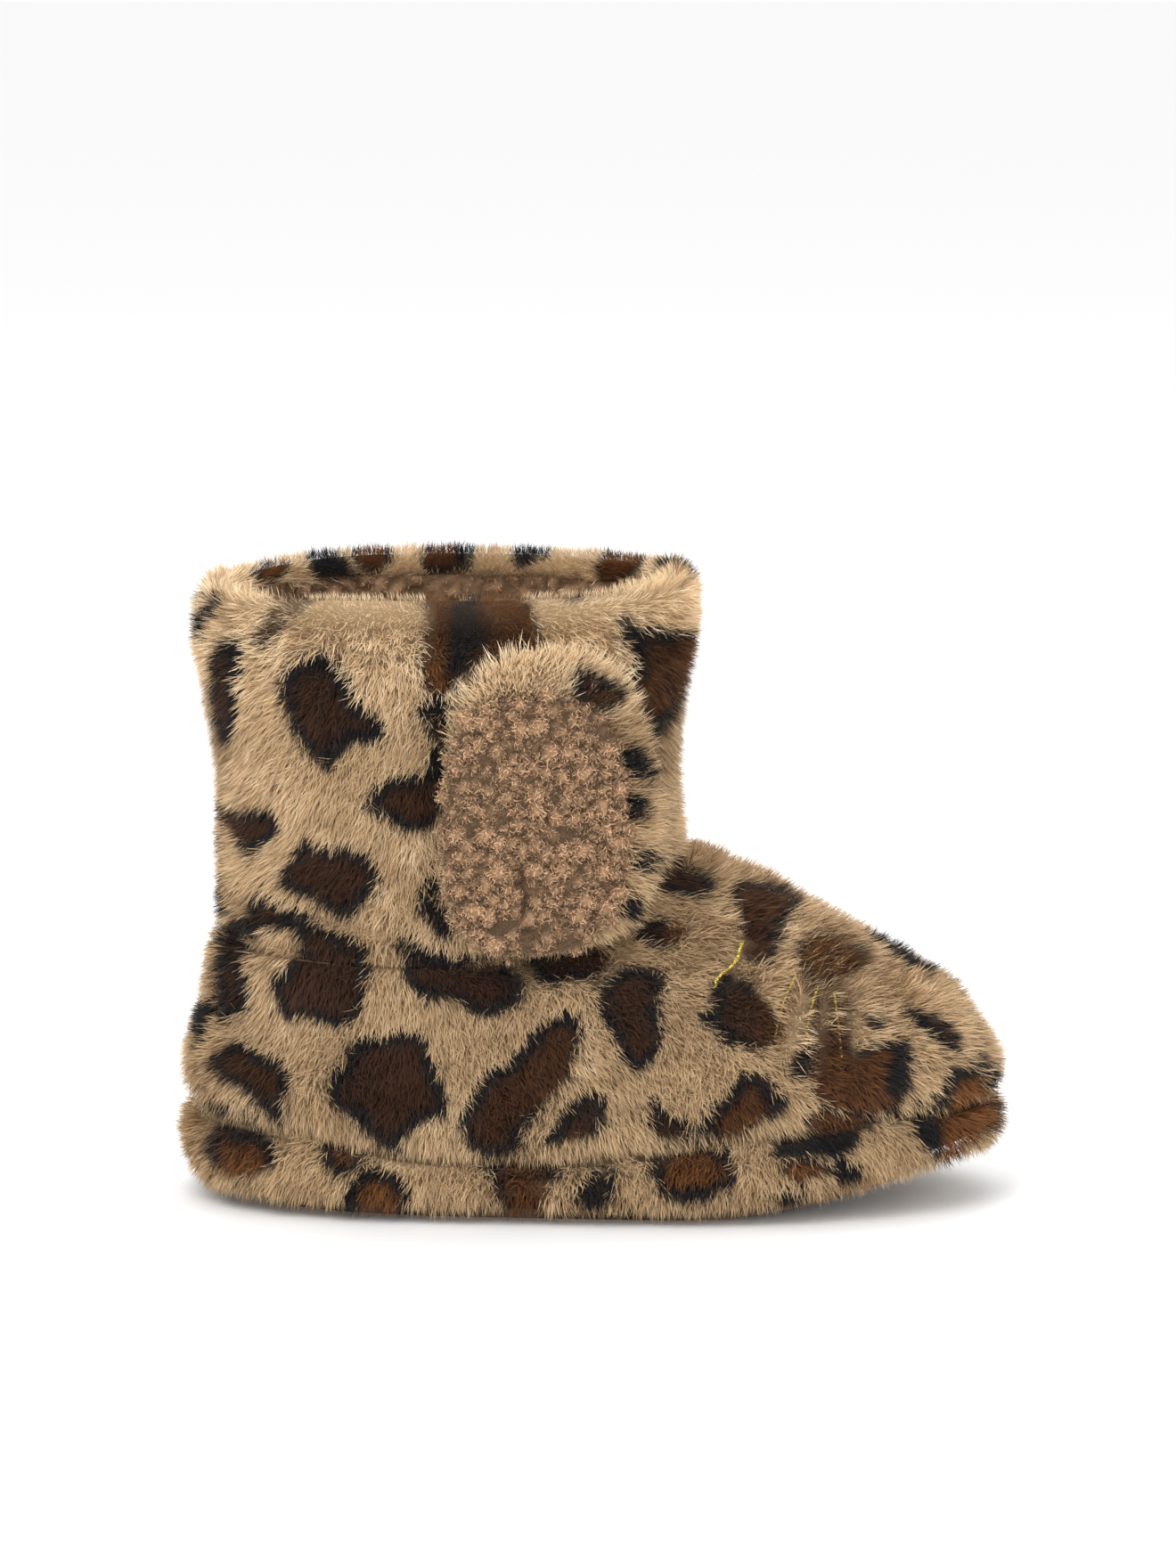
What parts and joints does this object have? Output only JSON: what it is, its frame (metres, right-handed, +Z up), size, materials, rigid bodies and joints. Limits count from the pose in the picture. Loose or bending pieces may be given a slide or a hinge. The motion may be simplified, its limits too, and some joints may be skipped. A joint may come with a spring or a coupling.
{
  "type": "bootie slipper",
  "caption": "Ankle-high plush slipper: hollow foot upper and open shaft on a soft padded sole, with an upright floppy ear sewn to each side of the shaft.",
  "frame": {"origin": "on the floor, half way along the shoe and on its centre line", "axes": "+X to the toe, +Z up, the shoe's own right side at -Y"},
  "size_m": [0.264, 0.1364, 0.2027],
  "materials": {
    "leopard_plush": "soft faux fur with a printed spot pattern",
    "brown_sherpa": "curly matt sherpa pile",
    "sole_textile": "matt textile with small grip dots"
  },
  "bodies": {
    "root": {"outsole": "sole_textile", "sole_band": "leopard_plush", "insole": "brown_sherpa", "foot_upper": "leopard_plush", "shaft": "leopard_plush", "ear_right_plush": "leopard_plush", "ear_right_sherpa": "brown_sherpa", "ear_left_plush": "leopard_plush", "ear_left_sherpa": "brown_sherpa"}
  },
  "joints": []
}
